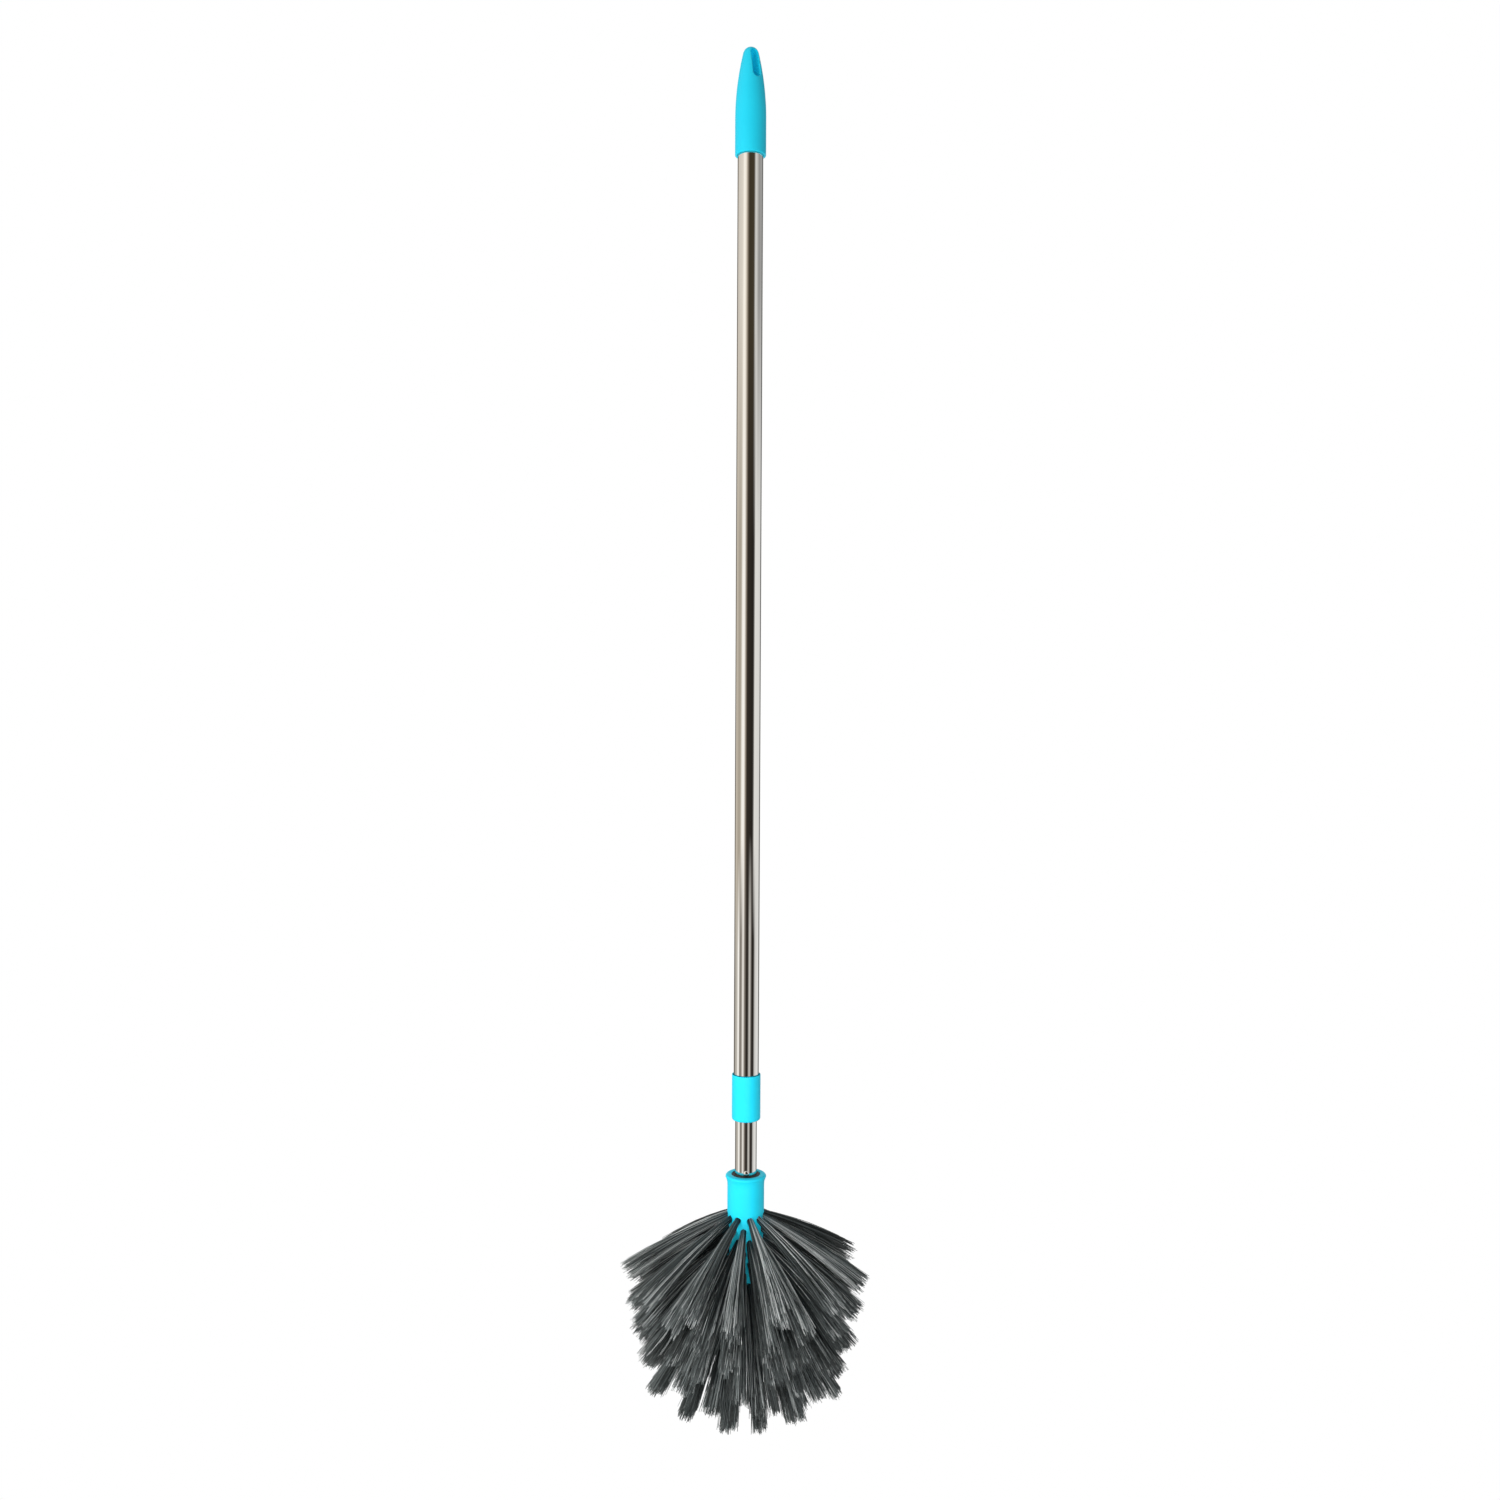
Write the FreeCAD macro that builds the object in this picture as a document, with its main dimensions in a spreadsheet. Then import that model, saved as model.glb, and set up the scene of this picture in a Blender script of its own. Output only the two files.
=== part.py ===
import FreeCAD, Part
import os
import re

import Sketcher

# Cobweb brush on a telescopic pole, in millimetres and degrees.
# It hangs by the slot in its end grip: the origin is the slot's centre, the slot goes through
# along Y, and +Z runs up the pole to the grip's tip. Each turned piece is drawn from its own
# lower end upwards, as (radius, height), and is then set at its height on the pole.

SIZES = {
    # clearances
    "running_gap": 0.05,
    "thread_gap": 0.1,
    "free_gap": 0.3,
    "cut_overrun": 1,
    # steel tubes
    "outer_tube_diameter": 22,
    "outer_tube_wall": 0.6,
    "outer_tube_length": 852,
    "inner_tube_diameter": 19,
    "inner_tube_wall": 0.6,
    "inner_tube_length": 913,
    # end grip
    "grip_length": 91,
    "grip_diameter": 26.4,
    "grip_shoulder_height": 30,
    "grip_nose_diameter": 13.2,
    "grip_nose_length": 5,
    "grip_seat_depth": 52,
    "grip_seat_taper": 22.5,
    "slot_floor": 2.5,
    "hole_to_tip": 15,
    "slot_width": 7,
    "slot_length": 24.5,
    # twist lock
    "nut_diameter": 24.8,
    "nut_cover_length": 13.5,
    "nut_round": 2.4,
    "nut_lip_length": 5.5,
    "nut_top_chamfer": 0.5,
    "spigot_length": 16,
    "barrel_length": 12,
    "clamp_length": 9,
    "clamp_top_diameter": 21.6,
    "clamp_base_diameter": 20.6,
    "clamp_slit_width": 1.4,
    # upper end of the inner tube
    "slider_top_gap": 3,
    "least_tube_show": 30,
    "slider_head_length": 3,
    "slider_neck_diameter": 15,
    "slider_flange_length": 3,
    "slider_stem_length": 20,
    "bush_length": 12,
    "bush_slit_width": 1.5,
    # lower end of the inner tube
    "thread_stem_length": 18,
    "thread_flange_length": 2,
    "thread_nose_length": 14,
    "thread_nose_diameter": 18.6,
    "thread_collar_drop": 0.4,
    "rivet_height": 10.8,
    "rivet_diameter": 3,
    "rivet_length": 6,
    "rivet_head_diameter": 5,
    "rivet_head_height": 1.1,
    "rivet_angle": -121,
    # head socket
    "tube_in_socket": 8,
    "mouth_diameter": 25.3,
    "lip_diameter": 35.4,
    "lip_height": 2,
    "flare_height": 7,
    "neck_diameter": 32,
    "neck_length": 24,
    "nose_end_gap": 1.5,
    # bristle core
    "core_diameter": 31,
    "core_end_diameter": 17,
    "first_row_depth": 37,
    "row_count": 8,
    "row_pitch": 9.6,
    "core_edge_drop": 4,
    "core_edge_height": 10.5,
    # tufts
    "tufts_per_row": 10,
    "first_tuft_angle": 33.6,
    "first_row_tilt": 31.5,
    "row_tilt_step": 2.7,
    "tuft_length": 104,
    "tuft_root_diameter": 2.6,
    "tuft_tip_diameter": 20,
    "hole_diameter": 4.8,
    "hole_depth": 8,
    "edge_row_share": 0.5,
    "edge_row_tilt": 65,
    "end_row_count": 5,
    "end_row_diameter": 13,
    "end_row_tilt": 79,
    "end_tuft_length": 99,
    "end_tip_diameter": 14,
    # wire anchors
    "anchor_length": 4.2,
    "anchor_width": 1.6,
    "anchor_thickness": 0.6,
}

# Radii, lengths and heights that follow from the sizes.
PLACES = {
    # radii
    "outer_tube_radius": "outer_tube_diameter / 2",
    "outer_tube_bore": "outer_tube_radius - outer_tube_wall",
    "inner_tube_radius": "inner_tube_diameter / 2",
    "inner_tube_bore": "inner_tube_radius - inner_tube_wall",
    "grip_radius": "grip_diameter / 2",
    "grip_seat": "min(grip_seat_depth; grip_length - hole_to_tip - slot_length / 2 - slot_floor)",
    "grip_shoulder": "max(grip_shoulder_height; grip_seat - grip_seat_taper)",
    "nut_radius": "nut_diameter / 2",
    "nut_bore": "outer_tube_radius + thread_gap",
    "lock_bore": "inner_tube_radius + free_gap",
    "clamp_bore": "inner_tube_radius + running_gap",
    "stem_radius": "inner_tube_bore - running_gap",
    "neck_radius": "slider_neck_diameter / 2",
    "bush_radius": "outer_tube_bore - running_gap",
    "nose_radius": "thread_nose_diameter / 2",
    "collar_radius": "mouth_diameter / 2 - free_gap",
    "collar_bore": "inner_tube_radius + running_gap",
    "under_rivet": "rivet_height - rivet_head_diameter / 2 - free_gap",
    "collar_height": "min(tube_in_socket - thread_collar_drop; under_rivet)",
    "socket_bore": "nose_radius + thread_gap",
    "core_radius": "core_diameter / 2",
    # heights on the pole
    "grip_rim": "hole_to_tip - grip_length",
    "outer_tube_top": "grip_rim + grip_seat",
    "outer_tube_end": "outer_tube_top - outer_tube_length",
    "barrel_end": "outer_tube_end - barrel_length",
    "clamp_end": "barrel_end - clamp_length",
    "nut_end": "clamp_end - nut_lip_length",
    "inner_tube_end": "min(slider_stop - inner_tube_length; nut_end - least_tube_show)",
    "inner_tube_top": "inner_tube_end + inner_tube_length",
    "bush_end": "inner_tube_top + slider_flange_length + running_gap",
    "slider_end": "inner_tube_top - slider_stem_length",
    "thread_flange_end": "inner_tube_end - thread_flange_length",
    "thread_nose_end": "thread_flange_end - thread_nose_length",
    "socket_mouth": "inner_tube_end + tube_in_socket",
    "socket_floor": "thread_flange_end - running_gap",
    "socket_bore_end": "thread_nose_end - nose_end_gap",
    "first_row": "socket_mouth - first_row_depth",
    "last_row": "first_row - (row_count - 1) * row_pitch",
    "core_edge_top": "last_row - core_edge_drop",
    "core_end": "core_edge_top - core_edge_height",
    # lengths
    "slider_rise": "slider_flange_length + bush_length + 2 * running_gap + slider_head_length",
    "slider_stop": "outer_tube_top - slider_top_gap - slider_rise",
    "nut_length": "outer_tube_end + nut_cover_length - nut_end",
    "core_edge_run": "(core_diameter - core_end_diameter) / 2",
    "root_depth": "hole_depth - anchor_thickness",
}


def formula(text):
    """The text with each named place worked out and each named size as its cell in the sheet."""

    def cell(word):
        if word[0] in PLACES:
            return "(" + formula(PLACES[word[0]]) + ")"
        if word[0] in SIZES:
            return "Sizes." + word[0]
        return word[0]

    return re.sub(r"[a-z][a-z_]*", cell, text)


def value(text):
    """What a formula comes to with the sizes as they are."""
    return float(sheet.evalExpression(formula(text)))


def bind(thing, **formulas):
    """Ties properties of an object to formulas of the sheet."""
    for name, text in formulas.items():
        thing.setExpression(name, formula(text))


def make_sheet():
    """The sheet of driving dimensions: a name and a plain number on each line."""
    made = doc.addObject("Spreadsheet::Sheet", "Sizes")
    for line, (name, size) in enumerate(SIZES.items(), 1):
        made.set(f"A{line}", name)
        made.set(f"B{line}", str(size))
        made.setAlias(f"B{line}", name)
    doc.recompute()
    return made


def plane(body, role):
    """One of a body's own origin planes."""
    return next(f for f in body.Origin.OriginFeatures if f.Role == role)


def new_sketch(body, name, role):
    """An empty sketch on one of the body's origin planes."""
    sketch = body.newObject("Sketcher::SketchObject", name)
    sketch.AttachmentSupport = [(plane(body, role), "")]
    sketch.MapMode = "FlatFace"
    return sketch


def fix_point(sketch, item, end, across, up):
    """Holds one point of a sketch at a place given by two formulas."""
    for kind, axis, text in (("DistanceX", -2, across), ("DistanceY", -1, up)):
        if text == "0":
            sketch.addConstraint(Sketcher.Constraint("PointOnObject", item, end, axis))
        elif text:
            held = Sketcher.Constraint(kind, -1, 1, item, end, value(text))
            index = sketch.addConstraint(held)
            sketch.setExpression(f"Constraints[{index}]", formula(text))


def arc_between(start, end, across, up):
    """An arc between two points whose centre has the given distance across or height, and
    whether it runs from the first point to the second anticlockwise."""
    (x0, y0), (x1, y1) = start, end
    if across:
        x = value(across)
        y = (x1**2 - x0**2 + y1**2 - y0**2 - 2 * x * (x1 - x0)) / (2 * (y1 - y0))
    else:
        y = value(up)
        x = (x1**2 - x0**2 + y1**2 - y0**2 - 2 * y * (y1 - y0)) / (2 * (x1 - x0))
    centre = FreeCAD.Vector(x, y, 0)
    spokes = [FreeCAD.Vector(*p, 0) - centre for p in (start, end)]
    forwards = spokes[0].cross(spokes[1]).z >= 0
    ordered = spokes if forwards else spokes[::-1]
    turns = [FreeCAD.Vector(1, 0, 0).getAngle(s) * (1 if s.y >= 0 else -1) for s in ordered]
    circle = Part.Circle(centre, FreeCAD.Vector(0, 0, 1), spokes[0].Length)
    return Part.ArcOfCircle(circle, *turns), forwards


def draw_outline(sketch, corners, arcs):
    """A closed outline through corners given as pairs of formulas. arcs says which stretches,
    by the corner that they start from, are round, and where across or how high their centre is."""
    spots = [(value(across), value(up)) for across, up in corners]
    ends = []
    for i, spot in enumerate(spots):
        following = spots[(i + 1) % len(spots)]
        if i in arcs:
            piece, forwards = arc_between(spot, following, *arcs[i])
        else:
            piece = Part.LineSegment(FreeCAD.Vector(*spot, 0), FreeCAD.Vector(*following, 0))
            forwards = True
        item = sketch.addGeometry(piece)
        ends.append((item, 1, 2) if forwards else (item, 2, 1))
    for i, (item, first, last) in enumerate(ends):
        following, entry, _ = ends[(i + 1) % len(ends)]
        sketch.addConstraint(Sketcher.Constraint("Coincident", item, last, following, entry))
        fix_point(sketch, item, first, *corners[i])
        if i in arcs:
            fix_point(sketch, item, 3, *arcs[i])


def turned(name, corners, arcs=None, base=None):
    """A piece turned about the pole's axis from an outline of (radius, height) corners, with
    its lower end at the base height."""
    body = doc.addObject("PartDesign::Body", name)
    sketch = new_sketch(body, name + "_outline", "XZ_Plane")
    draw_outline(sketch, corners, arcs or {})
    solid = body.newObject("PartDesign::Revolution", name + "_turned")
    solid.Profile = sketch
    solid.ReferenceAxis = (sketch, ["V_Axis"])
    if base:
        body.setExpression("Placement.Base.z", formula(base))
    return body


def cut(body, sketch, length=None):
    """A pocket from a sketch, checked to take material away: to one side, along the plane's own
    normal, for a length, or right through to both sides without one."""
    doc.recompute()
    before = body.Shape.Volume
    pocket = body.newObject("PartDesign::Pocket", sketch.Name + "_cut")
    pocket.Profile = sketch
    if length:
        bind(pocket, Length=length)
        pocket.Reversed = True
    else:
        pocket.Type = "ThroughAll"
        pocket.SideType = "Symmetric"
    doc.recompute()
    if body.Shape.Volume >= before:
        raise ValueError(f"{pocket.Name} cuts nothing")


def cut_slit(body, width, reach, height):
    """Splits a ring along one side, so that it can close or open."""
    sketch = new_sketch(body, body.Name + "_slit", "XY_Plane")
    half = f"{width} / 2"
    corners = [("0", "0 - " + half), (reach, "0 - " + half), (reach, half), ("0", half)]
    draw_outline(sketch, corners, {})
    cut(body, sketch, height)


def cut_rivet_hole(body, base, reach):
    """The rivet's hole in one side of a piece with that base height, out to that reach."""
    sketch = new_sketch(body, body.Name + "_rivet_hole", "YZ_Plane")
    radius = "rivet_diameter / 2 + running_gap"
    rise = f"inner_tube_end + rivet_height - {base}"
    centre = FreeCAD.Vector(0, value(rise), 0)
    item = sketch.addGeometry(Part.Circle(centre, FreeCAD.Vector(0, 0, 1), value(radius)))
    fix_point(sketch, item, 3, "0", rise)
    index = sketch.addConstraint(Sketcher.Constraint("Radius", item, value(radius)))
    sketch.setExpression(f"Constraints[{index}]", formula(radius))
    cut(body, sketch, reach)
    body.setExpression("Placement.Rotation.Angle", formula("rivet_angle"))


def make_tube(name, radius, bore, length, base):
    """A steel tube: a ring padded along the pole."""
    body = doc.addObject("PartDesign::Body", name)
    sketch = new_sketch(body, name + "_ring", "XY_Plane")
    for size in (radius, bore):
        ring = Part.Circle(FreeCAD.Vector(), FreeCAD.Vector(0, 0, 1), value(size))
        item = sketch.addGeometry(ring)
        sketch.addConstraint(Sketcher.Constraint("Coincident", item, 3, -1, 1))
        index = sketch.addConstraint(Sketcher.Constraint("Radius", item, value(size)))
        sketch.setExpression(f"Constraints[{index}]", formula(size))
    pad = body.newObject("PartDesign::Pad", name + "_pad")
    pad.Profile = sketch
    bind(pad, Length=length)
    body.setExpression("Placement.Base.z", formula(base))
    return body


def make_grip():
    """The bullet-shaped grip on the pole's top end, with its hang slot."""
    bore = "outer_tube_radius + running_gap"
    nose = "grip_length - grip_nose_length"
    corners = [
        (bore, "0"),
        ("grip_radius", "0"),
        ("grip_radius", "grip_shoulder"),
        ("grip_nose_diameter / 2", nose),
        ("0", "grip_length"),
        ("0", "grip_seat"),
        (bore, "grip_seat"),
    ]
    arcs = {2: ("", "grip_shoulder"), 3: ("0", "")}
    body = turned("end_grip", corners, arcs, base="grip_rim")
    slot = new_sketch(body, "hang_slot", "XZ_Plane")
    middle = "grip_length - hole_to_tip"
    side = "slot_width / 2"
    straight = "(slot_length - slot_width) / 2"
    slot_corners = [
        ("0 - " + side, f"{middle} - {straight}"),
        (side, f"{middle} - {straight}"),
        (side, f"{middle} + {straight}"),
        ("0 - " + side, f"{middle} + {straight}"),
    ]
    draw_outline(slot, slot_corners, {0: ("", slot_corners[0][1]), 2: ("", slot_corners[2][1])})
    cut(body, slot)
    return body


def make_lock():
    """The threaded sleeve in the outer tube's end, the split ring below it and the nut."""
    spigot = "outer_tube_bore - running_gap"
    ferrule = turned(
        "lock_ferrule",
        [
            ("lock_bore", "0"),
            ("outer_tube_radius", "0"),
            ("outer_tube_radius", "barrel_length"),
            (spigot, "barrel_length"),
            (spigot, "barrel_length + spigot_length"),
            ("lock_bore", "barrel_length + spigot_length"),
        ],
        base="barrel_end",
    )
    clamp_top = "clamp_top_diameter / 2"
    clamp_base = "clamp_base_diameter / 2"
    clamp = turned(
        "clamp_ring",
        [
            ("clamp_bore", "0"),
            (clamp_base, "0"),
            (clamp_top, "clamp_length"),
            ("clamp_bore", "clamp_length"),
        ],
        base="clamp_end",
    )
    cut_slit(clamp, "clamp_slit_width", "clamp_top_diameter", "clamp_length + cut_overrun")
    seat = "nut_lip_length - running_gap"
    nut = turned(
        "lock_nut",
        [
            ("lock_bore", "0"),
            ("nut_radius - nut_round", "0"),
            ("nut_radius", "nut_round"),
            ("nut_radius", "nut_length - nut_top_chamfer"),
            ("nut_radius - nut_top_chamfer", "nut_length"),
            ("nut_bore", "nut_length"),
            ("nut_bore", "nut_lip_length + clamp_length"),
            (clamp_top + " + running_gap", "nut_lip_length + clamp_length"),
            (clamp_base + " + running_gap", seat),
            ("lock_bore", seat),
        ],
        {1: ("", "nut_round")},
        base="nut_end",
    )
    return [ferrule, clamp, nut]


def make_slider():
    """The plug in the inner tube's top end, and the split bush on its neck."""
    neck_end = "slider_stem_length + slider_flange_length"
    neck_top = f"{neck_end} + bush_length + 2 * running_gap"
    head_top = f"{neck_top} + slider_head_length"
    plug = turned(
        "slider_plug",
        [
            ("0", "0"),
            ("stem_radius", "0"),
            ("stem_radius", "slider_stem_length"),
            ("inner_tube_radius", "slider_stem_length"),
            ("inner_tube_radius", neck_end),
            ("neck_radius", neck_end),
            ("neck_radius", neck_top),
            ("inner_tube_radius", neck_top),
            ("inner_tube_radius", head_top),
            ("0", head_top),
        ],
        base="slider_end",
    )
    bore = "neck_radius + running_gap"
    bush = turned(
        "guide_bush",
        [
            (bore, "0"),
            ("bush_radius", "0"),
            ("bush_radius", "bush_length"),
            (bore, "bush_length"),
        ],
        base="bush_end",
    )
    cut_slit(bush, "bush_slit_width", "outer_tube_diameter", "bush_length + cut_overrun")
    return [plug, bush]


def make_thread_plug():
    """The threaded nose in the inner tube's lower end, with a collar round the tube in the head's mouth."""
    stem_base = "thread_nose_length + thread_flange_length"
    stem_top = f"{stem_base} + thread_stem_length"
    collar_top = f"{stem_base} + collar_height"
    plug = turned(
        "thread_plug",
        [
            ("0", "0"),
            ("nose_radius", "0"),
            ("nose_radius", "thread_nose_length"),
            ("collar_radius", "thread_nose_length"),
            ("collar_radius", collar_top),
            ("collar_bore", collar_top),
            ("collar_bore", stem_base),
            ("stem_radius", stem_base),
            ("stem_radius", stem_top),
            ("0", stem_top),
        ],
        base="thread_nose_end",
    )
    cut_rivet_hole(plug, "thread_nose_end", "inner_tube_radius")
    return plug


def make_rivet():
    """The domed rivet that goes through the inner tube's wall into the threaded plug."""
    head = "rivet_head_diameter / 2"
    shank = "rivet_diameter / 2"
    rivet = turned(
        "tip_rivet",
        [
            ("0", "0"),
            (shank, "0"),
            (shank, "rivet_length"),
            (head, "rivet_length"),
            ("0", "rivet_length + rivet_head_height"),
        ],
        {3: ("0", "")},
    )
    height = "inner_tube_end + rivet_height"
    turn = "rotation(vector(0; 0; 1); rivet_angle)"
    out = "vector(inner_tube_radius + running_gap - rivet_length; 0; 0)"
    lay = "rotation(vector(0; 1; 0); 90)"
    bind(rivet, Placement=f"placement(vector(0; 0; {height}); {turn}) * placement({out}; {lay})")
    return rivet


def row_plan():
    """Each ring of tufts: its name, count, first angle, root radius and height, tilt, length and
    diameter at the tips."""
    step = "360 / tufts_per_row"
    rows = []
    for i in range(int(value("row_count"))):
        name = f"tuft_row_{i + 1}"
        first = f"first_tuft_angle + {i} * {step} / 2"
        height = f"first_row - {i} * row_pitch"
        tilt = f"first_row_tilt + {i} * row_tilt_step"
        shape = ("tuft_length", "tuft_tip_diameter")
        rows.append((name, "tufts_per_row", first, "core_radius", height, tilt, *shape))
    name = f"tuft_row_{len(rows) + 1}"
    first = f"first_tuft_angle + row_count * {step} / 2"
    radius = "core_radius - edge_row_share * core_edge_run"
    height = "core_edge_top - edge_row_share * core_edge_height"
    shape = ("end_tuft_length", "end_tip_diameter")
    rows.append((name, "tufts_per_row", first, radius, height, "edge_row_tilt", *shape))
    first = f"{first} + {step} / 2"
    radius = "end_row_diameter / 2"
    rows.append(("end_tufts", "end_row_count", first, radius, "core_end", "end_row_tilt", *shape))
    return rows


def along_tuft(row, number, inset, shift=("0", "0")):
    """The placement of something on a tuft's own axis, that far inside the core's surface and
    shifted across the axis. Its +Z points out along the tuft."""
    _, count, first, radius, height, tilt = row[:6]
    turn = f"rotation(vector(0; 0; 1); {first} + {number} * 360 / {count})"
    lean = f"rotation(vector(0; 1; 0); 90 + {tilt})"
    across = f"{radius} - ({inset}) * cos({tilt})"
    up = f"{height} + ({inset}) * sin({tilt})"
    spot = f"placement(vector({shift[0]}; {shift[1]}; 0); rotation(vector(0; 0; 1); 0))"
    return (
        f"placement(vector(0; 0; 0); {turn}) * placement(vector({across}; 0; {up}); {lean}) * {spot}"
    )


def each_tuft():
    """Every tuft of the head, with its ring and its number there."""
    for row in row_plan():
        for number in range(int(value(row[1]))):
            yield row, number


def group(name, members):
    """One node that holds several separate solids."""
    made = doc.addObject("Part::Compound", name)
    made.Links = members
    return made


def make_tufts():
    """The rings of tufts: each tuft a flaring cone from its anchor to its blunt tip."""
    cones = {}
    for row, number in each_tuft():
        cone = doc.addObject("Part::Cone", f"{row[0]}_tuft_{number + 1}")
        bind(
            cone,
            Radius1="tuft_root_diameter / 2",
            Radius2=f"{row[7]} / 2",
            Height=f"root_depth + {row[6]}",
            Placement=along_tuft(row, number, "root_depth"),
        )
        cones.setdefault(row[0], []).append(cone)
    return [group(name, members) for name, members in cones.items()]


def make_anchors():
    """The flat wire anchor at the bottom of each tuft's hole."""
    bars = []
    for row, number in each_tuft():
        bar = doc.addObject("Part::Box", f"{row[0]}_anchor_{number + 1}")
        middle = ("0 - anchor_width / 2", "0 - anchor_length / 2")
        bind(
            bar,
            Length="anchor_width",
            Width="anchor_length",
            Height="anchor_thickness",
            Placement=along_tuft(row, number, "hole_depth", middle),
        )
        bars.append(bar)
    return group("tuft_anchors", bars)


def make_head():
    """The moulded head: the socket that screws on the pole, and the core with the tuft holes."""
    neck_top = "socket_mouth - lip_height - flare_height - core_end"
    neck_end = f"{neck_top} - neck_length"
    lip_base = "socket_mouth - lip_height - core_end"
    blank = turned(
        "core_blank",
        [
            ("0", "0"),
            ("core_end_diameter / 2", "0"),
            ("core_radius", "core_edge_height"),
            ("core_radius", neck_end),
            ("neck_diameter / 2", neck_end),
            ("neck_diameter / 2", neck_top),
            ("lip_diameter / 2", lip_base),
            ("lip_diameter / 2 - lip_height", "socket_mouth - core_end"),
            ("mouth_diameter / 2", "socket_mouth - core_end"),
            ("mouth_diameter / 2", "socket_floor - core_end"),
            ("socket_bore", "socket_floor - core_end"),
            ("socket_bore", "socket_bore_end - core_end"),
            ("0", "socket_bore_end - core_end"),
        ],
        {5: ("", neck_top), 6: ("", lip_base)},
        base="core_end",
    )
    drills = []
    for row, number in each_tuft():
        drill = doc.addObject("Part::Cylinder", f"{row[0]}_hole_{number + 1}")
        bind(
            drill,
            Radius="hole_diameter / 2",
            Height="hole_depth + hole_diameter",
            Placement=along_tuft(row, number, "hole_depth"),
        )
        drills.append(drill)
    core = doc.addObject("Part::Cut", "head_core")
    core.Base = blank
    core.Tool = group("tuft_holes", drills)
    return core


def check_and_write(pieces):
    """Stops if anything failed to build, and otherwise writes each piece to its own file."""
    failed = [o.Name for o in doc.Objects if {"Invalid", "Error"} & set(o.State)]
    failed += [p.Name for p in pieces if p.Shape.isNull() or not p.Shape.isValid()]
    if failed:
        raise ValueError(f"not built: {failed}")
    os.makedirs("parts", exist_ok=True)
    for piece in pieces:
        piece.Shape.exportStep(f"parts/{piece.Label}.step")
        print(f"{piece.Label}: {len(piece.Shape.Solids)} solids, {piece.Shape.Volume / 1000:.2f} cm3")


doc = FreeCAD.newDocument("cobweb_brush")
sheet = make_sheet()
outer = make_tube(
    "outer_tube", "outer_tube_radius", "outer_tube_bore", "outer_tube_length", "outer_tube_end"
)
inner = make_tube(
    "inner_tube", "inner_tube_radius", "inner_tube_bore", "inner_tube_length", "inner_tube_end"
)
cut_rivet_hole(inner, "inner_tube_end", "inner_tube_diameter")
pieces = [make_grip(), outer, *make_lock(), inner, *make_slider(), make_thread_plug(), make_rivet()]
pieces += [make_head(), *make_tufts(), make_anchors()]
doc.recompute()
check_and_write(pieces)
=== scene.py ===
import itertools
import math

import bmesh
import bpy
from mathutils import Matrix, Vector


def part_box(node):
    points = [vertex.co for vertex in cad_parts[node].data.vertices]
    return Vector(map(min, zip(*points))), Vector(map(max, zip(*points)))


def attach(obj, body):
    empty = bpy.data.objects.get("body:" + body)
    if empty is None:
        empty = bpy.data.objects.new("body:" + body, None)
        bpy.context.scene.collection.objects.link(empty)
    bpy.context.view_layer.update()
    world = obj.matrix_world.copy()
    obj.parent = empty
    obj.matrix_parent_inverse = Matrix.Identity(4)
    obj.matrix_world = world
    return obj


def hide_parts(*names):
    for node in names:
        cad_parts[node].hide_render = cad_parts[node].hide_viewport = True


# Cobweb brush on a telescopic pole, hung by its grip. The frame is in metres, and the pole
# stands along Z with the hang slot's centre at the origin. Sizes here are in millimetres
# until a mesh is made.

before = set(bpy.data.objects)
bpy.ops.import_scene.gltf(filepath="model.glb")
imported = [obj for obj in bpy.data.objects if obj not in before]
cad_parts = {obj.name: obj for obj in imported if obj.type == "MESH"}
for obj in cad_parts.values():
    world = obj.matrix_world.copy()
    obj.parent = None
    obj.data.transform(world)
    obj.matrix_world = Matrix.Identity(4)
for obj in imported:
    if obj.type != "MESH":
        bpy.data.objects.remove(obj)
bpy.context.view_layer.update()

MM = 0.001
VIEW_SIDE = -33  # degrees that the camera stands round the pole from its front
WELD = 0.0005  # points closer than this are joined, in millimetres
SHARP_ANGLE = 35.0  # edges that bend more than this stay sharp, in degrees


# Node trees

class Tree:
    """Builds a node tree one node at a time."""

    def __init__(self, tree):
        self.tree = tree
        tree.nodes.clear()

    def feed(self, socket, value):
        """Links a socket to another node's output, or sets its own value."""
        if isinstance(value, bpy.types.NodeSocket):
            self.tree.links.new(value, socket)
        else:
            socket.default_value = value

    def add(self, kind, inputs=None, **settings):
        """A new node with its settings made and its inputs fed, by name or by number."""
        node = self.tree.nodes.new(kind)
        for name, setting in settings.items():
            setattr(node, name, setting)
        for key, value in (inputs or {}).items():
            self.feed(node.inputs[key], value)
        return node

    def math(self, operation, *values):
        """The result of one operation on values."""
        node = self.add("ShaderNodeMath", dict(enumerate(values)), operation=operation)
        return node.outputs[0]

    def total(self, *values):
        """The sum of two or more values."""
        result = values[0]
        for value in values[1:]:
            result = self.math("ADD", result, value)
        return result

    def product(self, *values):
        """The product of two or more values."""
        result = values[0]
        for value in values[1:]:
            result = self.math("MULTIPLY", result, value)
        return result

    def ramp(self, value, stops):
        """A colour ramp with stops of (place, colour)."""
        node = self.add("ShaderNodeValToRGB", {0: value})
        bands = node.color_ramp
        bands.interpolation = "LINEAR"
        while len(bands.elements) < len(stops):
            bands.elements.new(0.5)
        for element, (place, colour) in zip(bands.elements, stops):
            element.position = place
            element.color = (*colour, 1)
        return node.outputs[0]

    def span(self, value, low, high, to_low=0.0, to_high=1.0):
        """A value carried from one span to another, and held at its ends."""
        settings = {0: value, 1: low, 2: high, 3: to_low, 4: to_high}
        return self.add("ShaderNodeMapRange", settings).outputs[0]

    def mix(self, share, first, second):
        """A mix of two colours."""
        node = self.add("ShaderNodeMix", data_type="RGBA")
        for key, value in zip((0, 6, 7), (share, first, second)):
            self.feed(node.inputs[key], value)
        return node.outputs[2]


# Materials

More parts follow.
